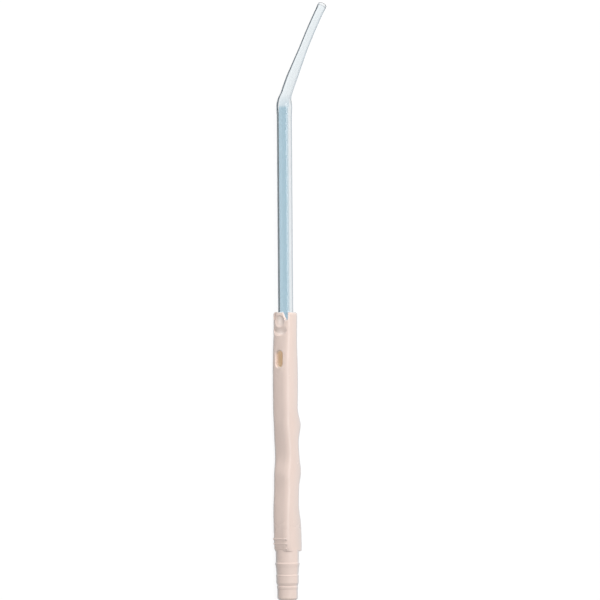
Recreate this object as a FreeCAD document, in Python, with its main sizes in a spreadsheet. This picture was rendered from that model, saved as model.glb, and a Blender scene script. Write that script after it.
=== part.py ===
import FreeCAD, Part
import math
import os
import Sketcher

# A suction tip of the yankauer kind, in millimetres: a clear bent tube
# in a moulded grip handle that ends in a barbed hose connector.
# It lies on one flat side of the handle, +Z up. The X axis is the axis of
# the handle, with the hose end towards +X and the tip towards -X. The vent
# and the thumb side of the handle face -Y, and the tip bends towards +Y.
# The origin is at the outer edge of the land that first enters the hose.
# A station is a distance along the axis from the end face of the connector.

# Driving dimensions. The lengths are in millimetres and the angles in degrees.
SIZES = {
    # hose connector
    "connector_length": 20.9,
    "land_radius": 4.4,
    "land_length": 3.6,
    "lead_in": 0.9,
    "end_shoulder": 6.2,
    "end_barb_radius": 4.6,
    "middle_shoulder": 11.1,
    "middle_barb_radius": 4.93,
    "rear_shoulder": 16.3,
    "rear_barb_radius": 5.28,
    "shoulder_slope": 0.5,
    "shoulder_drop": 0.2,
    "crest_rise": 0.06,
    "neck_radius": 5.0,
    # passage through the handle
    "bore_radius": 2.5,
    "bore_mouth_chamfer": 0.4,
    "socket_depth": 13.0,
    "socket_clearance": 0.05,
    # grip handle
    "handle_length": 102.9,
    "half_thickness": 4.82,
    "corner_radius": 2.9,
    "heel_corner_radius": 3.3,
    "crown_radius": 17.0,
    "rim_rounding": 1.0,
    "heel_rounding": 0.5,
    "rim_front": 4.42,
    "rim_back": 3.95,
    "vent_front": 5.37,
    "hollow_front": 4.21,
    "ledge_front": 5.03,
    "palm_front": 5.77,
    "heel_front": 4.74,
    "groove_back": 4.1,
    "groove_rise": 0.4,
    "ridge_height": 1.65,
    "palm_back": 5.66,
    "heel_back": 6.3,
    "ridge_station": 75.2,
    "ridge_pitch": 20.4,
    # thumb vent
    "vent_set_back": 7.1,
    "vent_length": 7.35,
    "vent_width": 3.55,
    "vent_edge": 0.45,
    # tongue, notches and dish at the rim
    "notch_depth": 3.6,
    "notch_outer": 3.85,
    "notch_rounding": 0.8,
    "notch_floor": 1.9,
    "tongue_tip_half_width": 0.75,
    "dish_set_back": 3.9,
    "dish_depth": 0.62,
    "lip_radius": 2.75,
    "smile_radius": 5.2,
    "smile_depth": 0.62,
    "smile_slope": 1.2,
    # grip lines, low ribs across the heel
    "line_station": 26.4,
    "line_pitch": 2.05,
    "line_radius": 0.45,
    "line_rise": 0.2,
    "line_half_length": 3.6,
    # tube
    "tube_radius": 3.3,
    "tube_bore_radius": 1.25,
    "elbow_station": 214.6,
    "elbow_swell": 0.15,
    "elbow_bend_radius": 7.0,
    "elbow_angle": 25.5,
    "elbow_end_radius": 2.5,
    "bow_length": 10.0,
    "bow_angle": 7.5,
    "taper_length": 15.0,
    "tip_length": 24.3,
    "tip_curve": 5.5,
    "tip_radius": 1.92,
    "bead_radius": 2.0,
    "bead_length": 2.6,
}

os.makedirs("parts", exist_ok=True)
doc = FreeCAD.newDocument("SuctionTip")


def make_sheet():
    """Write the driving dimensions into a spreadsheet, one alias a row."""
    sheet = doc.addObject("Spreadsheet::Sheet", "Sizes")
    for row, (alias, value) in enumerate(SIZES.items(), start=1):
        sheet.set("A%d" % row, alias)
        sheet.set("B%d" % row, str(value))
        sheet.setAlias("B%d" % row, alias)
    doc.recompute()
    return sheet


sheet = make_sheet()


def size(text):
    """Turn 'ridge_height * 2' into an expression that reads the sheet."""
    words = []
    word = ""
    for letter in text + " ":
        if letter.isalnum() or letter in "_.":
            word += letter
            continue
        words.append("Sizes." + word if word in SIZES else word)
        words.append(letter)
        word = ""
    return "".join(words).strip()


def value(text):
    """The number that an expression of sizes has now."""
    return float(sheet.evalExpression(size(text)))


def make_body(name):
    """Start one sub-part."""
    body = doc.addObject("PartDesign::Body", name)
    body.Label = name
    body.Placement = FreeCAD.Placement()
    return body


def origin_plane(body, role):
    """One of the body's own origin planes."""
    for feature in body.Origin.OriginFeatures:
        if feature.Role == role:
            return feature


def make_sketch(body, name, role):
    """A sketch on one of the body's origin planes."""
    sketch = body.newObject("Sketcher::SketchObject", name)
    sketch.AttachmentSupport = (origin_plane(body, role), [""])
    sketch.MapMode = "FlatFace"
    return sketch


def dimension(sketch, constraint, name, text):
    """Add a constraint, name it and bind it to sizes of the sheet."""
    index = sketch.addConstraint(constraint)
    sketch.renameConstraint(index, name)
    sketch.setExpression("Constraints." + name, size(text))


def set_station(sketch, text):
    """Move a sketch across the axis to a station."""
    sketch.setExpression("AttachmentOffset.Base.z", size("lead_in - (%s)" % text))


def crowned_arcs(front, back, top, crown, corner):
    """Centres, radii and end angles of the eight arcs of a crowned square, anticlockwise."""
    middle = (back - front) / 2
    centres = [(back - crown, 0.0), (middle, top - crown), (crown - front, 0.0), (middle, crown - top)]
    arcs = []
    for side in range(4):
        near = FreeCAD.Vector(*centres[side], 0)
        far = FreeCAD.Vector(*centres[(side + 1) % 4], 0)
        span = far - near
        reach = crown - corner
        lift = math.sqrt(reach * reach - span.Length * span.Length / 4)
        across = FreeCAD.Vector(-span.y, span.x, 0).normalize()
        centre = (near + far) / 2 + across * lift
        arcs.append((centre, near, far))
    result = []
    for side in range(4):
        before = arcs[side - 1][0]
        corner_centre, near, far = arcs[side]
        result.append((near, crown, direction(near, before), direction(near, corner_centre)))
        start = direction(near, corner_centre)
        end = direction(far, corner_centre)
        result.append((corner_centre, corner, start, end))
    return result


def direction(start, end):
    """Angle of the line from one point to another."""
    return math.atan2(end.y - start.y, end.x - start.x)


def crowned_section(body, name, station, front, back, corner):
    """A square section with crowned sides and round corners, at a station of the handle."""
    sketch = make_sketch(body, name, "YZ_Plane")
    set_station(sketch, station)
    numbers = [value(text) for text in (front, back, "half_thickness", "crown_radius", corner)]
    for centre, radius, start, end in crowned_arcs(*numbers):
        circle = Part.Circle(centre, FreeCAD.Vector(0, 0, 1), radius)
        sketch.addGeometry(Part.ArcOfCircle(circle, start, end), False)
    back_arc, top_arc, front_arc, bottom_arc = 0, 2, 4, 6
    for arc in range(8):
        sketch.addConstraint(Sketcher.Constraint("Tangent", arc, 2, (arc + 1) % 8, 1))
    for arc in (back_arc, front_arc):
        sketch.addConstraint(Sketcher.Constraint("PointOnObject", arc, 3, -1))
    sketch.addConstraint(Sketcher.Constraint("Symmetric", top_arc, 3, bottom_arc, 3, -1))
    for arc in (top_arc, front_arc, bottom_arc):
        sketch.addConstraint(Sketcher.Constraint("Equal", back_arc, arc))
    for arc in (3, 5, 7):
        sketch.addConstraint(Sketcher.Constraint("Equal", 1, arc))
    bind_centre(sketch, "DistanceX", front_arc, "front", "crown_radius - (%s)" % front)
    bind_centre(sketch, "DistanceX", back_arc, "back", "(%s) - crown_radius" % back)
    bind_centre(sketch, "DistanceX", top_arc, "middle", "((%s) - (%s)) / 2" % (back, front))
    bind_centre(sketch, "DistanceY", top_arc, "top", "half_thickness - crown_radius")
    crown = Sketcher.Constraint("Radius", back_arc, value("crown_radius"))
    dimension(sketch, crown, "crown", "crown_radius")
    dimension(sketch, Sketcher.Constraint("Radius", 1, value(corner)), "corner", corner)
    return sketch


def bind_centre(sketch, kind, arc, name, text):
    """Hold one coordinate of an arc's centre."""
    dimension(sketch, Sketcher.Constraint(kind, -1, 1, arc, 3, value(text)), name, text)


def evenly(start, end, part, parts):
    """A station that lies a share of the way from one station to another."""
    return "%s + (%s - (%s)) * %d / %d" % (start, end, start, part, parts)


def handle_sections(body):
    """The sections of the grip from the heel to the rim, evenly spaced between its landmarks."""
    heel = "connector_length"
    rim = "connector_length + handle_length"
    palm = "ridge_station - 2 * ridge_pitch"
    groove = "ridge_station + 0.5 * ridge_pitch"
    groove_2 = "groove_back + groove_rise"
    ridge = groove_2 + " + ridge_height"
    rows = [
        # heel and palm swell: station, reach to the vent side, reach to the finger side
        (heel, "heel_front", "heel_back"),
        (evenly(heel, palm, 1, 10), "0.65 * heel_front + 0.35 * palm_front", "heel_back + 0.02"),
        (evenly(heel, palm, 1, 2), "palm_front - 0.12", "heel_back"),
        (palm, "palm_front", "palm_back"),
        # two finger grooves behind two ridges, four sections to a pitch
        (evenly(palm, groove, 1, 10), "palm_front - 0.15", groove_2),
        (evenly(palm, groove, 2, 10), "palm_front - 0.52", groove_2),
        (evenly(palm, groove, 3, 10), "ledge_front", groove_2 + " + 0.36"),
        (evenly(palm, groove, 4, 10), "ledge_front - 0.02", ridge),
        (evenly(palm, groove, 5, 10), "hollow_front", groove_2 + " + 0.77"),
        (evenly(palm, groove, 6, 10), "hollow_front + 0.03", groove_2 + " + 0.13"),
        (evenly(palm, groove, 7, 10), "hollow_front + 0.43", groove_2 + " + 0.29"),
        (evenly(palm, groove, 8, 10), "hollow_front + 0.86", ridge),
        (evenly(palm, groove, 9, 10), "vent_front - 0.12", "groove_back + 0.33"),
        (groove, "vent_front", "groove_back"),
        # the run past the vent to the rim
        (evenly(groove, rim, 1, 6), "vent_front + 0.04", "groove_back + 0.2"),
        (evenly(groove, rim, 2, 6), "vent_front + 0.02", "groove_back + 0.24"),
        (evenly(groove, rim, 3, 6), "vent_front - 0.16", "groove_back - 0.05"),
        (evenly(groove, rim, 4, 6), "rim_front + 0.37", "rim_back - 0.12"),
        (evenly(groove, rim, 5, 6), "rim_front + 0.05", "rim_back - 0.03"),
        (rim, "rim_front", "rim_back"),
    ]
    sections = []
    for number, (station, front, back) in enumerate(rows):
        corner = "corner_radius" if number else "heel_corner_radius"
        sections.append(crowned_section(body, "Section%02d" % number, station, front, back, corner))
    return sections


def profile(body, name, role, points):
    """A closed outline of straight lines, each corner held by the sizes of the sheet."""
    sketch = make_sketch(body, name, role)
    corners = [FreeCAD.Vector(value(across), value(up), 0) for across, up in points]
    count = len(corners)
    for index in range(count):
        sketch.addGeometry(Part.LineSegment(corners[index], corners[(index + 1) % count]), False)
    for index in range(count):
        sketch.addConstraint(Sketcher.Constraint("Coincident", index, 2, (index + 1) % count, 1))
    for index, (across, up) in enumerate(points):
        number = value(across)
        dimension(sketch, Sketcher.Constraint("DistanceX", -1, 1, index, 1, number), "x%d" % index, across)
        number = value(up)
        dimension(sketch, Sketcher.Constraint("DistanceY", -1, 1, index, 1, number), "y%d" % index, up)
    return sketch


def lofted(body, kind, name, sections):
    """A loft through sections, added or cut away."""
    loft = body.newObject("PartDesign::" + kind, name)
    loft.Profile = sections[0]
    loft.Sections = sections[1:]
    return loft


def turned(body, kind, name, sketch, axis):
    """A body of revolution about the sketch's own axis, added or cut away."""
    feature = body.newObject("PartDesign::" + kind, name)
    feature.Profile = sketch
    feature.ReferenceAxis = (sketch, [axis])
    feature.Angle = 360.0
    return feature


def at_station(text):
    """Place along X of a station."""
    return "lead_in - (%s)" % text


SEAT = "(connector_length + handle_length - socket_depth)"
VENT = SEAT + " - vent_set_back"


def connector_outline():
    """Half outline of the connector from the hose end: three barbs, each with a shoulder, and the neck."""
    points = [
        (at_station("0"), "0"),
        (at_station("0"), "land_radius - 0.8 * lead_in"),
        (at_station("0.4 * lead_in"), "land_radius - 0.3 * lead_in"),
        (at_station("lead_in"), "land_radius"),
        (at_station("lead_in + land_length"), "land_radius"),
    ]
    for barb in ("end", "middle", "rear"):
        shoulder = barb + "_shoulder"
        crest = barb + "_barb_radius"
        root = "neck_radius" if barb == "rear" else crest + " - shoulder_drop"
        points.append((at_station(shoulder + " - 2 * shoulder_slope"), crest + " - crest_rise"))
        points.append((at_station(shoulder + " - shoulder_slope"), crest))
        points.append((at_station(shoulder), root))
        if barb == "end":
            points.append((at_station(shoulder + " + 1.2"), "middle_barb_radius - 0.12"))
        if barb == "middle":
            points.append((at_station(shoulder + " + 2.9"), "middle_barb_radius + 0.05"))
    points.append((at_station("connector_length + 1"), "neck_radius"))
    points.append((at_station("connector_length + 1"), "0"))
    return points


def passage_outline():
    """Half outline of the way through: the mouth, the bore and the socket of the tube."""
    rim = "connector_length + handle_length + 1"
    return [
        (at_station("-1"), "0"),
        (at_station("-1"), "bore_radius + bore_mouth_chamfer + 1"),
        (at_station("bore_mouth_chamfer"), "bore_radius"),
        (at_station(SEAT), "bore_radius"),
        (at_station(SEAT), "tube_radius + socket_clearance"),
        (at_station(rim), "tube_radius + socket_clearance"),
        (at_station(rim), "0"),
    ]


def edges_at(shape, station, near):
    """Names of the outer edges that lie in the plane across a station."""
    place = value(at_station(station))
    names = []
    for index, edge in enumerate(shape.Edges, start=1):
        box = edge.BoundBox
        if abs(box.XMin - place) < near and abs(box.XMax - place) < near:
            names.append("Edge%d" % index)
    return names


def round_end(body, name, station, radius):
    """Round the edge of the grip at one end."""
    doc.recompute()
    base = body.Tip
    rounding = body.newObject("PartDesign::Fillet", name)
    rounding.Base = (base, edges_at(base.Shape, station, 0.01))
    rounding.setExpression("Radius", size(radius))
    return rounding


def slot_sketch(body, name, length, width):
    """A slot with round ends, lengthwise, in the plane through the axis that the vent faces."""
    sketch = make_sketch(body, name, "XZ_Plane")
    half = value(width) / 2
    reach = value(length) / 2 - half
    place = value(at_station(VENT))
    up = FreeCAD.Vector(0, 0, 1)
    left = FreeCAD.Vector(place - reach, 0, 0)
    right = FreeCAD.Vector(place + reach, 0, 0)
    rise = FreeCAD.Vector(0, half, 0)
    quarter = math.pi / 2
    sketch.addGeometry(Part.ArcOfCircle(Part.Circle(left, up, half), quarter, 3 * quarter), False)
    sketch.addGeometry(Part.LineSegment(left - rise, right - rise), False)
    sketch.addGeometry(Part.ArcOfCircle(Part.Circle(right, up, half), -quarter, quarter), False)
    sketch.addGeometry(Part.LineSegment(right + rise, left + rise), False)
    for index in range(4):
        sketch.addConstraint(Sketcher.Constraint("Tangent", index, 2, (index + 1) % 4, 1))
    sketch.addConstraint(Sketcher.Constraint("PointOnObject", 0, 3, -1))
    sketch.addConstraint(Sketcher.Constraint("PointOnObject", 2, 3, -1))
    dimension(sketch, Sketcher.Constraint("Radius", 0, half), "radius", width + " / 2")
    end = at_station(VENT) + " %s (" + length + " - " + width + ") / 2"
    bind_centre(sketch, "DistanceX", 0, "left", end % "-")
    bind_centre(sketch, "DistanceX", 2, "right", end % "+")
    return sketch


def cut_away(body, name, sketch, depth):
    """Cut a sketch out of the body, towards the vent side, and see that it removes something."""
    doc.recompute()
    before = body.Tip.Shape.Volume
    pocket = body.newObject("PartDesign::Pocket", name)
    pocket.Profile = sketch
    pocket.Reversed = True
    pocket.setExpression("Length", size(depth))
    doc.recompute()
    check_removed(pocket, before)
    return pocket


def check_removed(feature, before):
    """A cut that points the wrong way removes nothing and raises no error."""
    if feature.Shape.isNull() or feature.Shape.Volume > before - 0.001:
        raise RuntimeError(feature.Name + " removes nothing")


def notch_sketch(body):
    """One round-bottomed notch in the rim beside the tongue, with the tongue's slanting flank."""
    sketch = make_sketch(body, "NotchOutline", "XZ_Plane")
    rim = at_station("connector_length + handle_length + 1")
    foot = at_station("connector_length + handle_length - notch_depth + notch_rounding")
    radius = value("notch_rounding")
    outer = FreeCAD.Vector(value(rim), value("notch_outer"), 0)
    inner = FreeCAD.Vector(value(rim), value("tongue_tip_half_width"), 0)
    centre = FreeCAD.Vector(value(foot), value("notch_outer") - radius, 0)
    flank = direction(inner, centre) - math.asin(radius / centre.distanceToPoint(inner))
    start = flank - math.pi / 2
    touch = centre + FreeCAD.Vector(math.cos(start), math.sin(start), 0) * radius
    top = FreeCAD.Vector(centre.x, outer.y, 0)
    sketch.addGeometry(Part.LineSegment(inner, touch), False)
    circle = Part.Circle(centre, FreeCAD.Vector(0, 0, 1), radius)
    sketch.addGeometry(Part.ArcOfCircle(circle, start, math.pi / 2), False)
    sketch.addGeometry(Part.LineSegment(top, outer), False)
    sketch.addGeometry(Part.LineSegment(outer, inner), False)
    sketch.addConstraint(Sketcher.Constraint("Tangent", 0, 2, 1, 1))
    sketch.addConstraint(Sketcher.Constraint("Tangent", 1, 2, 2, 1))
    sketch.addConstraint(Sketcher.Constraint("Coincident", 2, 2, 3, 1))
    sketch.addConstraint(Sketcher.Constraint("Coincident", 3, 2, 0, 1))
    dimension(sketch, Sketcher.Constraint("Radius", 1, radius), "radius", "notch_rounding")
    bind_centre(sketch, "DistanceX", 1, "foot", foot)
    bind_centre(sketch, "DistanceY", 1, "middle", "notch_outer - notch_rounding")
    for line, name, up in ((0, "inner", "tongue_tip_half_width"), (3, "outer", "notch_outer")):
        across = Sketcher.Constraint("DistanceX", -1, 1, line, 1, value(rim))
        dimension(sketch, across, name + "_x", rim)
        dimension(sketch, Sketcher.Constraint("DistanceY", -1, 1, line, 1, value(up)), name + "_y", up)
    return sketch


def dish_outline():
    """Half outline of the dish in the tongue, its lip and the smiling groove round it."""
    outside = "-rim_front - 3"
    return [
        ("0", outside),
        ("0", "dish_depth - rim_front"),
        ("0.6 * lip_radius", "0.64 * dish_depth - rim_front"),
        ("lip_radius", "-rim_front"),
        ("smile_radius", "smile_depth - rim_front"),
        ("smile_radius + smile_slope", "-rim_front"),
        ("smile_radius + smile_slope", outside),
    ]


def add_grip_lines(body):
    """Three low round ribs across the heel, turned about a line so that they follow the crown."""
    sketch = make_sketch(body, "GripLines", "XY_Plane")
    fall = "(palm_front - heel_front)"
    shares = (0.22, 0.46, 0.8)
    for line, share in enumerate(shares):
        across = at_station("line_station - %d * line_pitch" % line)
        up = "line_radius - line_rise - palm_front + %s * %s" % (share, fall)
        centre = FreeCAD.Vector(value(across), value(up), 0)
        circle = Part.Circle(centre, FreeCAD.Vector(0, 0, 1), value("line_radius"))
        sketch.addGeometry(circle, False)
        bind_centre(sketch, "DistanceX", line, "x%d" % line, across)
        bind_centre(sketch, "DistanceY", line, "y%d" % line, up)
        number = value("line_radius")
        dimension(sketch, Sketcher.Constraint("Radius", line, number), "r%d" % line, "line_radius")
    axis = len(shares)
    height = "crown_radius - palm_front"
    near = FreeCAD.Vector(value(at_station("connector_length")), value(height), 0)
    far = FreeCAD.Vector(value(at_station("line_station")), value(height), 0)
    sketch.addGeometry(Part.LineSegment(far, near), True)
    sketch.addConstraint(Sketcher.Constraint("Horizontal", axis))
    dimension(sketch, Sketcher.Constraint("DistanceY", -1, 1, axis, 1, value(height)), "height", height)
    for point, station in ((1, "line_station"), (2, "connector_length")):
        place = at_station(station)
        across = Sketcher.Constraint("DistanceX", -1, 1, axis, point, value(place))
        dimension(sketch, across, station, place)
    doc.recompute()
    ribs = turned(body, "Revolution", "GripRibs", sketch, "Axis0")
    ribs.setExpression("Angle", size("2 * asin(line_half_length / crown_radius)"))
    ribs.Midplane = True


def vent_edges(shape):
    """Names of the edges round the mouth of the vent, on the surface of the grip."""
    place = value(at_station(VENT))
    names = []
    for index, edge in enumerate(shape.Edges, start=1):
        middle = edge.CenterOfMass
        box = edge.BoundBox
        inside = abs(middle.x - place) < value("vent_length") / 2 + 0.1 and box.ZLength < 4
        if inside and box.YMax < -value("bore_radius") - 1 and abs(middle.z) < value("vent_width") / 2 + 0.1:
            names.append("Edge%d" % index)
    return names


def revolve_cut(body, name, outline, axis):
    """Cut a turned shape out of the body, and see that it removes something."""
    doc.recompute()
    before = body.Tip.Shape.Volume
    groove = turned(body, "Groove", name, outline, axis)
    doc.recompute()
    check_removed(groove, before)


def add_grip(body):
    """The moulded grip, rounded at both ends."""
    lofted(body, "AdditiveLoft", "Grip", handle_sections(body))
    round_end(body, "RimRounding", "connector_length + handle_length", "rim_rounding")
    round_end(body, "HeelRounding", "connector_length", "heel_rounding")


def add_connector(body):
    """The barbed hose connector on the heel."""
    outline = profile(body, "ConnectorOutline", "XY_Plane", connector_outline())
    turned(body, "Revolution", "Connector", outline, "H_Axis")


def cut_passage(body):
    """The way through for the suction, with the socket for the tube."""
    outline = profile(body, "PassageOutline", "XY_Plane", passage_outline())
    revolve_cut(body, "Passage", outline, "H_Axis")


def cut_vent(body):
    """The thumb vent, with a soft edge."""
    slot = slot_sketch(body, "VentSlot", "vent_length", "vent_width")
    cut = cut_away(body, "Vent", slot, "2 * palm_front")
    rounding = body.newObject("PartDesign::Fillet", "VentEdge")
    rounding.Base = (cut, vent_edges(cut.Shape))
    rounding.setExpression("Radius", size("vent_edge"))


def cut_notches(body):
    """The pair of notches in the rim, one on each side of the tongue."""
    outline = notch_sketch(body)
    outline.setExpression("AttachmentOffset.Base.z", size("notch_floor"))
    cut = cut_away(body, "Notch", outline, "2 * rim_front")
    mirrored = body.newObject("PartDesign::Mirrored", "NotchPair")
    mirrored.Originals = [cut]
    mirrored.MirrorPlane = (origin_plane(body, "XY_Plane"), [""])
    body.Tip = mirrored


def cut_dish(body):
    """The dish in the tongue and the smiling groove below it."""
    outline = profile(body, "DishOutline", "XY_Plane", dish_outline())
    station = at_station("connector_length + handle_length - dish_set_back")
    outline.setExpression("AttachmentOffset.Base.x", size(station))
    revolve_cut(body, "Dish", outline, "V_Axis")


def make_handle():
    """The grip handle with its barbed connector."""
    body = make_body("grip_handle")
    add_grip(body)
    add_grip_lines(body)
    add_connector(body)
    cut_passage(body)
    cut_vent(body)
    cut_notches(body)
    cut_dish(body)
    return body


def circle_sketch(body, name, radius):
    """A circle in the plane across the axis."""
    sketch = make_sketch(body, name, "YZ_Plane")
    circle = Part.Circle(FreeCAD.Vector(0, 0, 0), FreeCAD.Vector(0, 0, 1), value(radius))
    sketch.addGeometry(circle, False)
    sketch.addConstraint(Sketcher.Constraint("Coincident", 0, 3, -1, 1))
    dimension(sketch, Sketcher.Constraint("Radius", 0, value(radius)), "radius", radius)
    return sketch


def straight_section(body, name, station, radius):
    """A circle across the straight part of the tube."""
    sketch = circle_sketch(body, name, radius)
    set_station(sketch, station)
    return sketch


def bent_section(body, name, along, up, angle, radius):
    """A circle square to the bent axis, at a place and an angle in the plane of the bend."""
    sketch = circle_sketch(body, name, radius)
    lean = FreeCAD.Rotation(FreeCAD.Vector(0, 1, 0), -value(angle))
    sketch.AttachmentOffset = FreeCAD.Placement(FreeCAD.Vector(0, 0, 0), lean)
    sketch.setExpression("AttachmentOffset.Base.z", size(along))
    sketch.setExpression("AttachmentOffset.Base.x", size(up))
    sketch.setExpression("AttachmentOffset.Rotation.Angle", size("-(%s)" % angle))
    return sketch


BEND_START = "elbow_station - elbow_bend_radius * tan(elbow_angle / 2)"
STRAIGHT_END = BEND_START + " - 5"
BOW_RADIUS = "(bow_length * 180 / (bow_angle * pi))"
TIP_BEND_RADIUS = "(tip_length * 180 / (tip_curve * pi))"


def after_bend(place, radius, turn):
    """Place and angle after a bend that goes on from a place."""
    along, up, start = place
    end = "(%s + %s)" % (start, turn)
    along += " - %s * (sin(%s) - sin(%s))" % (radius, end, start)
    up += " + %s * (cos(%s) - cos(%s))" % (radius, start, end)
    return along, up, end


def elbow_place(share):
    """Place and angle at a share of the elbow's arc."""
    return after_bend((at_station(BEND_START), "0", "0"), "elbow_bend_radius", "elbow_angle * %s" % share)


def bow_end():
    """Place and angle at the end of the gentle bow behind the elbow."""
    return after_bend(elbow_place(1), BOW_RADIUS, "bow_angle")


def taper_end():
    """Place and angle at the end of the straight taper behind the bow."""
    along, up, angle = bow_end()
    return along + " - taper_length * cos(%s)" % angle, up + " + taper_length * sin(%s)" % angle, angle


def bead_start():
    """Place and angle where the bead starts on the gently curved tip."""
    return after_bend(taper_end(), TIP_BEND_RADIUS, "tip_curve * (tip_length - bead_length) / tip_length")


def elbow_sections(body):
    """The outer circles of the elbow: it swells a little, then narrows through the bend."""
    swell = "tube_radius + elbow_swell"
    sections = [
        straight_section(body, "BendStart", STRAIGHT_END, "tube_radius"),
        straight_section(body, "BendRun", STRAIGHT_END + " + 1.2", "tube_radius + 0.05 * elbow_swell"),
        straight_section(body, "BendSwell", STRAIGHT_END + " + 3.2", "tube_radius + 0.7 * elbow_swell"),
    ]
    rows = (
        (0.1, swell),
        (0.55, "0.5 * tube_radius + 0.5 * elbow_end_radius + 0.1"),
        (1, "elbow_end_radius"),
    )
    for share, radius in rows:
        name = "Elbow%03d" % round(share * 100)
        sections.append(bent_section(body, name, *elbow_place(share), radius))
    return sections


def straight_run(body, kind, name, sketch, end):
    """Add or cut a round run from a circle at the seat towards the tip, up to a station."""
    run = body.newObject("PartDesign::" + kind, name)
    run.Profile = sketch
    run.Reversed = kind == "Pad"
    run.setExpression("Length", size("%s - %s" % (end, SEAT)))


def bent_run(body, kind, sketch, bend_radius, sweep):
    """Add or cut a round run along a bend: a circle turned about a line beside it, towards the tip."""
    beside = value(bend_radius)
    rise = value("tube_radius")
    line = Part.LineSegment(FreeCAD.Vector(beside, rise, 0), FreeCAD.Vector(beside, -rise, 0))
    sketch.addGeometry(line, True)
    sketch.addConstraint(Sketcher.Constraint("Symmetric", 1, 1, 1, 2, -1))
    length = Sketcher.Constraint("DistanceY", 1, 2, 1, 1, 2 * rise)
    dimension(sketch, length, "length", "2 * tube_radius")
    dimension(sketch, Sketcher.Constraint("DistanceX", -1, 1, 1, 1, beside), "beside", bend_radius)
    doc.recompute()
    before = body.Tip.Shape.Volume
    run = turned(body, kind, sketch.Name + "Run", sketch, "Axis0")
    run.setExpression("Angle", size(sweep))
    doc.recompute()
    if kind == "Groove":
        check_removed(run, before)


def cut_bore(body):
    """The bore all the way through: straight, round both bends, down the taper and along the tip."""
    base = straight_section(body, "BaseBore", SEAT, "tube_bore_radius")
    straight_run(body, "Pocket", "StraightBore", base, BEND_START)
    elbow = straight_section(body, "ElbowBore", BEND_START, "tube_bore_radius")
    bent_run(body, "Groove", elbow, "elbow_bend_radius", "elbow_angle")
    bow = bent_section(body, "BowBore", *elbow_place(1), "tube_bore_radius")
    bent_run(body, "Groove", bow, BOW_RADIUS, "bow_angle")
    taper = bent_section(body, "TaperBore", *bow_end(), "tube_bore_radius")
    run = body.newObject("PartDesign::Pocket", "TaperBoreRun")
    run.Profile = taper
    run.setExpression("Length", size("taper_length"))
    tip = bent_section(body, "TipBore", *taper_end(), "tube_bore_radius")
    bent_run(body, "Groove", tip, TIP_BEND_RADIUS, "tip_curve * 1.02")


def make_tube():
    """The clear tube: a straight part, a tight elbow, a bow, a taper and a curved tip with a bead."""
    body = make_body("suction_tube")
    base = straight_section(body, "BaseCircle", SEAT, "tube_radius")
    straight_run(body, "Pad", "StraightTube", base, STRAIGHT_END)
    lofted(body, "AdditiveLoft", "Elbow", elbow_sections(body))
    bow = bent_section(body, "Bow", *elbow_place(1), "elbow_end_radius")
    bent_run(body, "Revolution", bow, BOW_RADIUS, "bow_angle")
    wide = bent_section(body, "TaperStart", *bow_end(), "elbow_end_radius")
    narrow = bent_section(body, "TaperEnd", *taper_end(), "tip_radius")
    lofted(body, "AdditiveLoft", "Taper", [wide, narrow])
    tip = bent_section(body, "Tip", *taper_end(), "tip_radius")
    bent_run(body, "Revolution", tip, TIP_BEND_RADIUS, "tip_curve")
    bead = bent_section(body, "Bead", *bead_start(), "bead_radius")
    bent_run(body, "Revolution", bead, TIP_BEND_RADIUS, "tip_curve * bead_length / tip_length")
    cut_bore(body)
    return body


def check_document():
    """Stop if any object of the document failed to compute."""
    for item in doc.Objects:
        if "Invalid" in item.State or "Error" in item.State:
            raise RuntimeError("%s: %s" % (item.Name, item.State))


def write_piece(body):
    """Check one sub-part and write its solid."""
    shape = body.Shape
    if shape.isNull() or not shape.isValid() or len(shape.Solids) != 1:
        raise RuntimeError(body.Label + " is not one valid solid")
    print("%s: %.1f cubic millimetres" % (body.Label, shape.Volume))
    shape.exportStep("parts/%s.step" % body.Label)


pieces = [make_handle(), make_tube()]
doc.recompute()
check_document()
for piece in pieces:
    write_piece(piece)
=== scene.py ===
import math

import bmesh
import bpy
from mathutils import Matrix, Vector


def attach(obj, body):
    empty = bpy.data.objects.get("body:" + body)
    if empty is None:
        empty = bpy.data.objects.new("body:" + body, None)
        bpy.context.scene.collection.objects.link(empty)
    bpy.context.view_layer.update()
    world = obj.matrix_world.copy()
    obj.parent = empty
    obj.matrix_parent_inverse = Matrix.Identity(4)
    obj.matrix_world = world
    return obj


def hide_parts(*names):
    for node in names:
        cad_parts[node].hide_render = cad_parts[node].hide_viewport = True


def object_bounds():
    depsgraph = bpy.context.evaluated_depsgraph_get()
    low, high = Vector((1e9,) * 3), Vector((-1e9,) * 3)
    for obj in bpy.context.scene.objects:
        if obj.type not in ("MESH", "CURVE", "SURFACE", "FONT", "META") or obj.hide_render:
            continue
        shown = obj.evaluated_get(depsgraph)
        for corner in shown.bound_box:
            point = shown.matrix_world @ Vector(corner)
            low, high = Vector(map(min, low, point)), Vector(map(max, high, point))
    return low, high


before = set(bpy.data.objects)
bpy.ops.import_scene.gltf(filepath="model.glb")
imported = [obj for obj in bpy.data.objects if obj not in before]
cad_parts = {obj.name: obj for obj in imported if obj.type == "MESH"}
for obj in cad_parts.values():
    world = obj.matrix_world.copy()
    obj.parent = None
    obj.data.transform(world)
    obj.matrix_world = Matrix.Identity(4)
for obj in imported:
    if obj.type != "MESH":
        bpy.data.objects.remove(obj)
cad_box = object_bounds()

MM = 0.001

# The direction square to the handle's axis that points to the right in the photograph.
RIGHT_Y = 0.6
RIGHT_Z = 0.8


# Shader and geometry maths, written as expressions on sockets.

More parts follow.
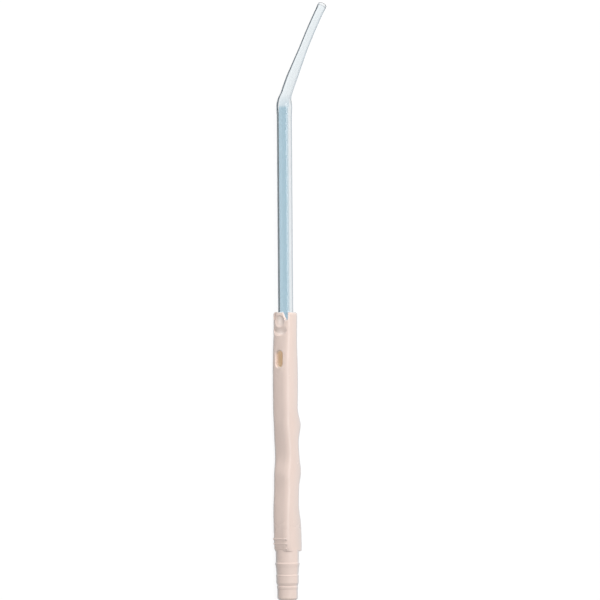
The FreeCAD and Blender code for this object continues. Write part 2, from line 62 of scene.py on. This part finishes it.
class Value:
    """A socket with number operators, so that an expression adds its Math nodes."""

    def __init__(self, graph, socket):
        self.graph = graph
        self.socket = socket

    def maths(self, operation, *others):
        """One Math node on this value."""
        numbers = {0: self}
        for index, other in enumerate(others, start=1):
            numbers[index] = other
        return self.graph.add("ShaderNodeMath", {"operation": operation}, numbers)

    def __add__(self, other):
        return self.maths("ADD", other)

    def __radd__(self, other):
        return self.maths("ADD", other)

    def __sub__(self, other):
        return self.maths("SUBTRACT", other)

    def __rsub__(self, other):
        return self.graph.add("ShaderNodeMath", {"operation": "SUBTRACT"}, {0: other, 1: self})

    def __mul__(self, other):
        return self.maths("MULTIPLY", other)

    def __rmul__(self, other):
        return self.maths("MULTIPLY", other)

    def __truediv__(self, other):
        return self.maths("DIVIDE", other)

    def clamped(self, low, high):
        """The value held between two bounds."""
        return self.maths("MAXIMUM", low).maths("MINIMUM", high)

    def eased(self, low, high):
        """Nought below low and one above high, with a soft change between them."""
        settings = {"interpolation_type": "SMOOTHSTEP"}
        sockets = {"Value": self, "From Min": low, "From Max": high}
        return self.graph.add("ShaderNodeMapRange", settings, sockets)


class Graph:
    """The nodes of one material, world or geometry tree."""

    def __init__(self, tree):
        self.tree = tree

    def add(self, kind, settings, sockets, output=0):
        """Add a node: its settings first, then the values or links of its sockets."""
        node = self.tree.nodes.new(kind)
        for name, setting in settings.items():
            setattr(node, name, setting)
        for name, given in sockets.items():
            socket = self.pick(node.inputs, name)
            if isinstance(given, Value):
                self.tree.links.new(given.socket, socket)
            else:
                socket.default_value = given
        return Value(self, self.pick(node.outputs, output))

    def pick(self, sockets, name):
        """A socket by its number, or the enabled one of that name."""
        if isinstance(name, int):
            return sockets[name]
        for socket in sockets:
            if socket.name == name and socket.enabled:
                return socket
        raise KeyError(name)

    def number(self, given):
        """A number of its own, where an expression starts from nothing."""
        value = self.add("ShaderNodeValue", {}, {})
        value.socket.default_value = given
        return value

    def blend(self, share, low, high):
        """A colour between two colours."""
        settings = {"data_type": "RGBA"}
        sockets = {"Factor": share, "A": low, "B": high}
        return self.add("ShaderNodeMix", settings, sockets, "Result")

    def parts(self, vector):
        """The three numbers of a vector."""
        first = self.add("ShaderNodeSeparateXYZ", {}, {0: vector})
        outputs = first.socket.node.outputs
        return tuple(Value(self, outputs[index]) for index in range(3))

    def vector(self, x, y, z):
        """A vector of three numbers."""
        return self.add("ShaderNodeCombineXYZ", {}, {0: x, 1: y, 2: z})

    def place(self):
        """The place on the object, in its own coordinates."""
        return self.add("ShaderNodeTexCoord", {}, {}, "Object")

    def noise(self, place, cells, detail):
        """Soft noise with so many cells for a metre, one number or one for each axis."""
        if isinstance(cells, tuple):
            place = self.add("ShaderNodeMapping", {}, {"Vector": place, "Scale": cells})
            cells = 1.0
        sockets = {"Vector": place, "Scale": cells, "Detail": detail}
        return self.add("ShaderNodeTexNoise", {}, sockets)

    def turned_away(self, low, high):
        """Nought where a face looks at the viewer and one where it is seen edge on."""
        facing = self.add("ShaderNodeLayerWeight", {}, {"Blend": 0.5}, "Facing")
        return facing.eased(low, high)

    def rays(self):
        """What kind of ray arrives, by the name of the kind."""
        outputs = self.add("ShaderNodeLightPath", {}, {}).socket.node.outputs
        return {output.name: Value(self, output) for output in outputs}

    def emission(self, tint, strength):
        """A shader that shines."""
        return self.add("ShaderNodeEmission", {}, {"Color": tint, "Strength": strength})

    def background(self, tint, strength):
        """A shader for surroundings that shine."""
        return self.add("ShaderNodeBackground", {}, {"Color": tint, "Strength": strength})

    def mix(self, share, low, high):
        """A shader between two shaders."""
        return self.add("ShaderNodeMixShader", {}, {0: share, 1: low, 2: high})

    def show(self, shader, output_kind):
        """Make a shader the one that the tree gives."""
        output = self.tree.nodes.new(output_kind)
        self.tree.links.new(shader.socket, output.inputs["Surface"])


def colour(red, green, blue):
    """A linear colour of the three numbers from 0 to 255 that a screen shows."""
    def linear(number):
        share = number / 255
        return share / 12.92 if share <= 0.04045 else ((share + 0.055) / 1.055) ** 2.4
    return (linear(red), linear(green), linear(blue), 1.0)


def new_material(name):
    """A material with a Principled shader and nothing else."""
    material = bpy.data.materials.new(name)
    material.use_nodes = True
    graph = Graph(material.node_tree)
    shader = next(node for node in material.node_tree.nodes if node.type == "BSDF_PRINCIPLED")
    return material, graph, shader


def bare_graph(owner):
    """The emptied tree of a material or a world."""
    owner.use_nodes = True
    owner.node_tree.nodes.clear()
    return Graph(owner.node_tree)


def connect(graph, shader, name, value):
    """Link a value to a socket of the shader, or set it there."""
    socket = shader.inputs[name]
    if isinstance(value, Value):
        graph.tree.links.new(value.socket, socket)
    else:
        socket.default_value = value


# Materials. A pair of numbers says where a change starts and where it ends, and a pair of
# colours what a pattern goes between.

BLACK = (0.0, 0.0, 0.0, 1.0)
WHITE = (1.0, 1.0, 1.0, 1.0)

# The grip: cells of its patterns for a metre, its gloss, its relief, its painted sheen and where
# it has a painted glow.
FLOW_CELLS = (60.0, 190.0, 190.0)
GRAIN_CELLS = 2600.0
WAVE_CELLS = 420.0
GRIP_BEIGES = (colour(233, 212, 201), colour(238, 218, 208))
# Painted sheen: the grip's colour turns to this grey where it is seen edge on.
GRIP_PAINTED_SHEEN_GREY = colour(222, 218, 217)
GRIP_SHEEN_FACING = (0.3, 0.8)
GRIP_ROUGHNESS = 0.2
WAVE_ROUGHNESS = 0.1
CONNECTOR_ROUGHNESS = 0.22
CONNECTOR_START = (-34.0 * MM, -18.0 * MM)
RELIEF_DEPTH = 0.04 * MM
RELIEF_STRENGTH = 0.25
GRAIN_SHARE = 0.6
GRIP_IOR = 1.5
PASSAGE_WALL = (3.4 * MM, 4.6 * MM)
SOCKET_FLOOR = (-113.5 * MM, -109.5 * MM)
VENT_TIP_END = (-109.5 * MM, -107.0 * MM)
VENT_HOSE_END = (-99.0 * MM, -96.0 * MM)
# Painted glow: light that the vent and the socket give off, though they are no lamps.
VENT_PAINTED_GLOW = (0.165, 0.135, 0.08, 1.0)
SOCKET_PAINTED_GLOW = (0.24, 0.25, 0.25, 1.0)

# The outside of the tube.
CLOUD_CELLS = 90.0
TUBE_CLEARS = (colour(247, 250, 251), colour(252, 253, 254))
# Painted shade: the tube's outside turns to this grey where the wall is seen edge on.
TUBE_PAINTED_EDGE_SHADE = colour(146, 160, 172)
TUBE_SHADE_FACING = (0.22, 0.66)
TUBE_ROUGHNESS = 0.075
CLOUD_ROUGHNESS = 0.01
TUBE_IOR = 1.49

# The bore of the tube. It bends no light, so that its blue looks even. A clear stripe along one
# side of it is a painted highlight, and where the handle holds it, it has a painted glow.
STREAK_CELLS = (25.0, 300.0, 300.0)
BORE_BLUES = (colour(171, 197, 210), colour(180, 205, 217))
BORE_CLEAR = colour(241, 245, 247)
BLUE_SHARE = 0.6
BLUE_START = (-212.1 * MM, -210.5 * MM)
PALE_SHARE = 0.4
PALE_START = (-217.0 * MM, -211.5 * MM)
# Painted highlight: a clear stripe along one side of the bore's blue.
HIGHLIGHT_STRIPE_SIDE = (0.48, 0.64)
HIGHLIGHT_STRIPE_START = (-212.5 * MM, -210.5 * MM)
LEAST_DEPTH = 0.5 * MM
RIM = (-123.4 * MM, -122.6 * MM)
# Painted glow of the bore where the handle holds the tube.
HELD_PAINTED_GLOW = (0.11, 0.135, 0.16, 1.0)
BORE_ROUGHNESS = 0.05
BORE_IOR = 1.0


def moulded_plastic():
    """Pinkish beige plastic of the grip: satin with a faint grain, with a painted sheen that greys
    it where seen edge on.

    Inside the vent and the socket it has a painted glow, standing in for light that comes through
    the plastic.
    """
    material, graph, shader = new_material("grip_plastic")
    place = graph.place()
    flow = graph.noise(place, FLOW_CELLS, 2.0)
    grain = graph.noise(place, GRAIN_CELLS, 3.0)
    waves = graph.noise(place, WAVE_CELLS, 1.0)
    shade = graph.blend(flow, *GRIP_BEIGES)
    # Painted sheen: the colour greys where the surface is seen edge on.
    painted_edge = graph.turned_away(*GRIP_SHEEN_FACING)
    connect(graph, shader, "Base Color", graph.blend(painted_edge, shade, GRIP_PAINTED_SHEEN_GREY))
    along, across, up = graph.parts(place)
    matter = CONNECTOR_ROUGHNESS * along.eased(*CONNECTOR_START)
    connect(graph, shader, "Roughness", GRIP_ROUGHNESS + WAVE_ROUGHNESS * waves + matter)
    # Painted glow inside the vent and the socket, standing in for light that comes through the
    # plastic.
    depth = (across * across + up * up).maths("SQRT")
    inside = 1.0 - depth.eased(*PASSAGE_WALL)
    socket = 1.0 - along.eased(*SOCKET_FLOOR)
    vent = along.eased(*VENT_TIP_END) * (1.0 - along.eased(*VENT_HOSE_END))
    painted_glow_tint = graph.blend(socket, VENT_PAINTED_GLOW, SOCKET_PAINTED_GLOW)
    glow = graph.blend(inside * (vent + socket), BLACK, painted_glow_tint)
    connect(graph, shader, "Emission Color", glow)
    connect(graph, shader, "Emission Strength", 1.0)
    height = grain * GRAIN_SHARE + waves
    bump = {"Strength": RELIEF_STRENGTH, "Distance": RELIEF_DEPTH, "Height": height}
    connect(graph, shader, "Normal", graph.add("ShaderNodeBump", {}, bump))
    connect(graph, shader, "IOR", GRIP_IOR)
    return material


def clear_plastic():
    """Clear plastic of the tube's outside, with painted shade that greys it where the wall is seen
    edge on.
    """
    material, graph, shader = new_material("tube_clear")
    cloud = graph.noise(graph.place(), CLOUD_CELLS, 1.0)
    # Painted shade: greyer colour where the wall is seen edge on.
    painted_edge = graph.turned_away(*TUBE_SHADE_FACING)
    clear = graph.blend(cloud, *TUBE_CLEARS)
    connect(graph, shader, "Base Color", graph.blend(painted_edge, clear, TUBE_PAINTED_EDGE_SHADE))
    connect(graph, shader, "Roughness", TUBE_ROUGHNESS + CLOUD_ROUGHNESS * cloud)
    connect(graph, shader, "IOR", TUBE_IOR)
    connect(graph, shader, "Transmission Weight", 1.0)
    return material


def tinted_bore():
    """Inner wall of the tube: blue but for a clear stripe that is a painted highlight, paler in
    the elbow, clear past it, with a painted glow where the handle holds it.
    """
    material, graph, shader = new_material("tube_bore")
    place = graph.place()
    along, across, up = graph.parts(place)
    depth = (across * across + up * up).maths("SQRT").clamped(LEAST_DEPTH, 1.0)
    side = (RIGHT_Y * across + RIGHT_Z * up) / depth
    # Painted highlight: the blue gives way to clear along one side.
    painted_highlight = side.eased(*HIGHLIGHT_STRIPE_SIDE) * along.eased(*HIGHLIGHT_STRIPE_START)
    straight = BLUE_SHARE * along.eased(*BLUE_START) + PALE_SHARE * along.eased(*PALE_START)
    uneven = graph.noise(place, STREAK_CELLS, 2.0)
    blue = graph.blend(uneven, *BORE_BLUES)
    tint = straight * (1.0 - painted_highlight)
    connect(graph, shader, "Base Color", graph.blend(tint, BORE_CLEAR, blue))
    # Painted glow where the handle holds the tube, standing in for light carried along the clear
    # wall.
    painted_glow_share = along.eased(*RIM)
    connect(graph, shader, "Emission Color", graph.blend(painted_glow_share, BLACK, HELD_PAINTED_GLOW))
    connect(graph, shader, "Emission Strength", 1.0)
    connect(graph, shader, "Roughness", BORE_ROUGHNESS)
    connect(graph, shader, "IOR", BORE_IOR)
    connect(graph, shader, "Transmission Weight", 1.0)
    return material


# The tube: a sheet for each of its surfaces, swept along the bent axis by one rule.

TUBE = {
    "Seat": -109.9 * MM,
    "Straight Length": 102.216 * MM,
    "Elbow Length": 7.0 * MM * math.radians(25.5),
    "Elbow Angle": math.radians(25.5),
    "Bow Length": 10.0 * MM,
    "Bow Angle": math.radians(7.5),
    "Taper Length": 15.0 * MM,
    "Tip Length": 24.3 * MM,
    "Tip Angle": math.radians(5.5),
    "Wide Radius": 3.3 * MM,
    "Elbow Swell": 0.15 * MM,
    "Bow Radius": 2.5 * MM,
    "Tip Radius": 1.92 * MM,
    "Bead Radius": 2.0 * MM,
    "Bead Length": 2.6 * MM,
    "Bore Radius": 1.25 * MM,
    "Straight Bore Radius": 1.6 * MM,
    "Mouth Rounding": 0.22 * MM,
}
RUNS = (
    ("Straight Length", None),
    ("Elbow Length", "Elbow Angle"),
    ("Bow Length", "Bow Angle"),
    ("Taper Length", None),
    ("Tip Length", "Tip Angle"),
)

# Where the radius changes, from the start of the elbow, the bow or the bead.
SWELL_FROM_ELBOW = (-5.0 * MM, -1.5 * MM)
DROP_FROM_ELBOW = -0.8 * MM
DROP_TO_BOW = 2.2 * MM
BEAD_RISE = (-0.5 * MM, 0.7 * MM)
BORE_FROM_ELBOW = (-3.0 * MM, 5.0 * MM)

# Points of the mesh, and how near to each other two points become one.
POINTS_AROUND = 96
OUTSIDE_ROWS = 520
BORE_ROWS = 420
LIP_ROWS = 6
FLAT_ROWS = 3
SEAM = 0.005 * MM
LAST_SEAM = 0.001 * MM


def tube_tree(outer_material, bore_material):
    """A geometry tree that makes the tube from its named sizes."""
    tree = bpy.data.node_groups.new("tube_rule", "GeometryNodeTree")
    graph = Graph(tree)
    tree.interface.new_socket("Geometry", in_out="INPUT", socket_type="NodeSocketGeometry")
    for name in TUBE:
        tree.interface.new_socket(name, in_out="INPUT", socket_type="NodeSocketFloat")
    tree.interface.new_socket("Geometry", in_out="OUTPUT", socket_type="NodeSocketGeometry")
    inputs = tree.nodes.new("NodeGroupInput")
    sizes = {name: Value(graph, inputs.outputs[name]) for name in TUBE}

    def starts():
        """Where each run of the axis starts, and where the last one ends."""
        places = [0.0]
        for length, _ in RUNS:
            places.append(places[-1] + sizes[length])
        return places

    def spot(along):
        """Place on the axis and the turn of the axis there, at a length from the seat."""
        x = sizes["Seat"]
        y = 0.0
        turned = graph.number(0.0)
        here = turned
        for start, (length, angle) in zip(starts(), RUNS):
            gone = (along - start).clamped(0.0, sizes[length])
            if angle is None:
                x = x - gone * turned.maths("COSINE")
                y = y + gone * turned.maths("SINE")
                continue
            radius = sizes[length] / sizes[angle]
            ahead = turned + gone / radius
            x = x - radius * (ahead.maths("SINE") - turned.maths("SINE"))
            y = y + radius * (turned.maths("COSINE") - ahead.maths("COSINE"))
            here = here + gone / radius
            turned = turned + sizes[angle]
        return x, y, here

    def outer_radius(along):
        """Outer radius at a length from the seat."""
        _, elbow, bow, taper, _, total = starts()
        swell_start, swell_end = SWELL_FROM_ELBOW
        swell = along.eased(elbow + swell_start, elbow + swell_end) * sizes["Elbow Swell"]
        fall = sizes["Wide Radius"] + sizes["Elbow Swell"] - sizes["Bow Radius"]
        drop = along.eased(elbow + DROP_FROM_ELBOW, bow + DROP_TO_BOW) * fall
        share = (along - taper).clamped(0.0, sizes["Taper Length"]) / sizes["Taper Length"]
        tapered = share * (sizes["Bow Radius"] - sizes["Tip Radius"])
        rise_start, rise_end = BEAD_RISE
        bead_start = total - sizes["Bead Length"]
        risen = along.eased(bead_start + rise_start, bead_start + rise_end)
        bead = risen * (sizes["Bead Radius"] - sizes["Tip Radius"])
        return sizes["Wide Radius"] + swell - drop - tapered + bead

    def sheet(rows, rule, material):
        """One surface round the bent axis: the rule turns a share into a length and a radius."""
        grid = tree.nodes.new("GeometryNodeMeshGrid")
        grid.inputs["Size X"].default_value = 1.0
        grid.inputs["Size Y"].default_value = 1.0
        grid.inputs["Vertices X"].default_value = rows
        grid.inputs["Vertices Y"].default_value = POINTS_AROUND + 1
        flat = Value(graph, grid.outputs["Mesh"])
        position = graph.add("GeometryNodeInputPosition", {}, {})
        grid_x, grid_y, _ = graph.parts(position)
        along, radius = rule(grid_x + 0.5)
        angle = (grid_y + 0.5) * math.tau
        x, y, turn = spot(along)
        lift = radius * angle.maths("COSINE")
        depth = radius * angle.maths("SINE")
        place = graph.vector(x + lift * turn.maths("SINE"), y + lift * turn.maths("COSINE"), depth)
        moved = graph.add("GeometryNodeSetPosition", {}, {"Geometry": flat, "Position": place})
        smooth = graph.add("GeometryNodeSetShadeSmooth", {}, {"Geometry": moved})
        dressed = {"Geometry": smooth, "Material": material}
        return graph.add("GeometryNodeSetMaterial", {}, dressed)

    total = starts()[-1]
    rounding = sizes["Mouth Rounding"]
    quarter = math.pi / 2

    def outside(share):
        """The outer wall, from the seat to the rounding of the mouth."""
        along = share * (total - rounding)
        return along, outer_radius(along)

    def outer_lip(share):
        """The rounding at the outside of the mouth."""
        angle = share * quarter
        along = total - rounding + rounding * angle.maths("SINE")
        return along, outer_radius(total) - rounding + rounding * angle.maths("COSINE")

    def face(share):
        """The flat ring of the mouth."""
        wide = outer_radius(total) - rounding
        narrow = sizes["Bore Radius"] + rounding
        return total, wide + (narrow - wide) * share

    def inner_lip(share):
        """The rounding at the inside of the mouth."""
        angle = share * quarter
        along = total - rounding + rounding * angle.maths("COSINE")
        return along, sizes["Bore Radius"] + rounding - rounding * angle.maths("SINE")

    def bore(share):
        """The inner wall, from the mouth back to the seat."""
        along = (1.0 - share) * (total - rounding)
        elbow = starts()[1]
        narrow_start, narrow_end = BORE_FROM_ELBOW
        narrowed = along.eased(elbow + narrow_start, elbow + narrow_end)
        change = sizes["Straight Bore Radius"] - sizes["Bore Radius"]
        return along, sizes["Straight Bore Radius"] - narrowed * change

    def seat(share):
        """The flat ring at the seat."""
        wide = sizes["Straight Bore Radius"]
        return graph.number(0.0), wide + (sizes["Wide Radius"] - wide) * share

    sheets = [
        sheet(OUTSIDE_ROWS, outside, outer_material),
        sheet(LIP_ROWS, outer_lip, outer_material),
        sheet(FLAT_ROWS, face, outer_material),
        sheet(LIP_ROWS, inner_lip, outer_material),
        sheet(BORE_ROWS, bore, bore_material),
        sheet(FLAT_ROWS, seat, outer_material),
    ]
    join = tree.nodes.new("GeometryNodeJoinGeometry")
    for made in reversed(sheets):
        tree.links.new(made.socket, join.inputs[0])
    joined = {"Geometry": Value(graph, join.outputs[0]), "Distance": SEAM}
    merged = graph.add("GeometryNodeMergeByDistance", {}, joined)
    outputs = tree.nodes.new("NodeGroupOutput")
    tree.links.new(merged.socket, outputs.inputs["Geometry"])
    return tree


def made_by_tree(name, tree, sizes):
    """Run a geometry tree with its sizes and keep the result as a plain mesh."""
    start = bpy.data.meshes.new(name + "_start")
    carrier = bpy.data.objects.new(name, start)
    bpy.context.scene.collection.objects.link(carrier)
    modifier = carrier.modifiers.new("rule", "NODES")
    modifier.node_group = tree
    for item in tree.interface.items_tree:
        if item.in_out == "INPUT" and item.name in sizes:
            modifier[item.identifier] = sizes[item.name]
    bpy.context.view_layer.update()
    graph = bpy.context.evaluated_depsgraph_get()
    mesh = bpy.data.meshes.new_from_object(carrier.evaluated_get(graph), depsgraph=graph)
    carrier.modifiers.remove(modifier)
    carrier.data = mesh
    mesh.name = name
    shape = bmesh.new()
    shape.from_mesh(mesh)
    bmesh.ops.remove_doubles(shape, verts=shape.verts, dist=LAST_SEAM)
    bmesh.ops.recalc_face_normals(shape, faces=shape.faces)
    shape.to_mesh(mesh)
    shape.free()
    return carrier


# Camera: square to the handle's axis, 37 degrees above the floor, at the photograph's angle.
# The picture is 600 pixels wide and high. The end of the connector is at its lower edge.

PIXEL = 0.43 * MM
PICTURE_PIXELS = 600
AXIS_COLUMN = 285.57
HOSE_END = 0.9 * MM
ROLL = 0.007
LENS_MM = 300
SENSOR_MM = 36
FARTHEST = 50


def add_camera():
    """A long lens that sees the tip at the top of the frame and the connector at the bottom."""
    right = Vector((ROLL, RIGHT_Y, RIGHT_Z)).normalized()
    up = Vector((-1.0, RIGHT_Y * ROLL, RIGHT_Z * ROLL)).normalized()
    back = right.cross(up).normalized()
    half = PICTURE_PIXELS / 2
    middle = Vector((HOSE_END - half * PIXEL, 0, 0)) + right * (half - AXIS_COLUMN) * PIXEL
    lens = bpy.data.cameras.new("camera")
    lens.lens = LENS_MM
    lens.sensor_width = SENSOR_MM
    lens.clip_end = FARTHEST
    distance = PICTURE_PIXELS * PIXEL * lens.lens / lens.sensor_width
    camera = bpy.data.objects.new("camera", lens)
    turn = Matrix((right, up, back)).transposed().to_4x4()
    camera.matrix_world = Matrix.Translation(middle + back * distance) @ turn
    bpy.context.scene.collection.objects.link(camera)
    bpy.context.scene.camera = camera


# Stage: a pale floor under the part, a dark board for the clear plastic, and soft lamps.

DARK = (0.6, 0.85, 1.0, 1.0)
DARK_STRENGTH = 0.14

FLOOR_HALF = 12.0
FLOOR_MATT = (0.6, 0.6, 0.6, 1.0)
FLOOR_WHITE_STRENGTH = 1.1
FLOOR_WHITE_SHARE = 0.85
STRIP_EDGE = (0.07, 0.09)

BOARD_Y = 0.5
BOARD_TOP = 0.3
BOARD_ENDS = (-1.5, 1.3)

SURROUNDINGS = (0.94, 0.97, 1.0, 1.0)
SURROUNDINGS_STRENGTH = 0.32

# Name, heading from the part, distance, width, height, watts, colour and if gloss mirrors it.
LAMPS = (
    ("key", (-0.8, -0.25, 0.55), 1.3, 0.6, 0.6, 11.0, (1.0, 0.985, 0.97), False),
    ("near_strip", (0.0, -0.38, 0.92), 1.2, 1.2, 0.4, 5.8, (1.0, 1.0, 1.0), True),
    ("far_strip", (0.0, 0.8, 0.6), 1.2, 1.2, 0.3, 3.0, (1.0, 1.0, 1.0), False),
)
LAMPS_AIM = (-0.12, 0.0, 0.0)


def floor_material():
    """Pale floor that the camera and gloss see as white.

    Clear plastic sees it as a white strip under the part in dark surroundings.
    """
    material = bpy.data.materials.new("floor_white")
    graph = bare_graph(material)
    rays = graph.rays()
    passed = rays["Is Transmission Ray"]
    beyond = graph.parts(graph.place())[1].eased(*STRIP_EDGE)
    white = (rays["Is Camera Ray"] + rays["Is Glossy Ray"] + passed).clamped(0.0, 1.0)
    matt = graph.add("ShaderNodeBsdfDiffuse", {}, {"Color": FLOOR_MATT})
    glow = graph.emission(WHITE, FLOOR_WHITE_STRENGTH)
    dark = graph.emission(DARK, DARK_STRENGTH)
    lit = graph.mix(white * FLOOR_WHITE_SHARE, matt, glow)
    graph.show(graph.mix(passed * beyond, lit, dark), "ShaderNodeOutputMaterial")
    return material


def board_material():
    """The dark that clear plastic bends towards its edges."""
    material = bpy.data.materials.new("board_dark")
    graph = bare_graph(material)
    graph.show(graph.emission(DARK, DARK_STRENGTH), "ShaderNodeOutputMaterial")
    return material


def flat_piece(name, corners, material):
    """A single face with a material."""
    mesh = bpy.data.meshes.new(name)
    mesh.from_pydata(corners, [], [(0, 1, 2, 3)])
    mesh.materials.append(material)
    piece = bpy.data.objects.new(name, mesh)
    bpy.context.scene.collection.objects.link(piece)
    return piece


def add_floor():
    """A wide floor at the lowest point of the part."""
    low = cad_box[0][2]
    half = FLOOR_HALF
    corners = [(-half, -half, low), (half, -half, low), (half, half, low), (-half, half, low)]
    floor = flat_piece("floor", corners, floor_material())


def add_board():
    """A dark board far beyond the part, there only for what clear plastic bends towards it."""
    low = cad_box[0][2]
    tip_end, hose_end = BOARD_ENDS
    corners = [(tip_end, BOARD_Y, low), (hose_end, BOARD_Y, low),
               (hose_end, BOARD_Y, BOARD_TOP), (tip_end, BOARD_Y, BOARD_TOP)]
    board = flat_piece("board", corners, board_material())
    board.visible_camera = False
    board.visible_diffuse = False
    board.visible_glossy = False
    board.visible_shadow = False


def add_world():
    """Soft surroundings that the camera and clear plastic see as white."""
    world = bpy.data.worlds.new("surroundings")
    bpy.context.scene.world = world
    graph = bare_graph(world)
    rays = graph.rays()
    seen = (rays["Is Camera Ray"] + rays["Is Transmission Ray"]).clamped(0.0, 1.0)
    soft = graph.background(SURROUNDINGS, SURROUNDINGS_STRENGTH)
    white = graph.background(WHITE, 1.0)
    graph.show(graph.mix(seen, soft, white), "ShaderNodeOutputWorld")


def add_lamp(name, heading, distance, wide, high, power, tint, mirrored):
    """A soft lamp that shines on the middle of the part from a heading."""
    away = Vector(heading).normalized()
    light = bpy.data.lights.new(name, "AREA")
    light.shape = "RECTANGLE"
    light.size = wide
    light.size_y = high
    light.energy = power
    light.color = tint
    lamp = bpy.data.objects.new(name, light)
    lamp.visible_glossy = mirrored
    lamp.visible_transmission = False
    turn = (-away).to_track_quat("-Z", "Y").to_matrix().to_4x4()
    lamp.matrix_world = Matrix.Translation(Vector(LAMPS_AIM) + away * distance) @ turn
    bpy.context.scene.collection.objects.link(lamp)


# Build.

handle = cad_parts["grip_handle"]
handle.data.materials.clear()
handle.data.materials.append(moulded_plastic())

tube = made_by_tree("clear_tube", tube_tree(clear_plastic(), tinted_bore()), TUBE)
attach(tube, "root")
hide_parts("suction_tube")

add_camera()
add_floor()
add_board()
add_world()
for lamp in LAMPS:
    add_lamp(*lamp)
bpy.context.scene.view_settings.view_transform = "Standard"
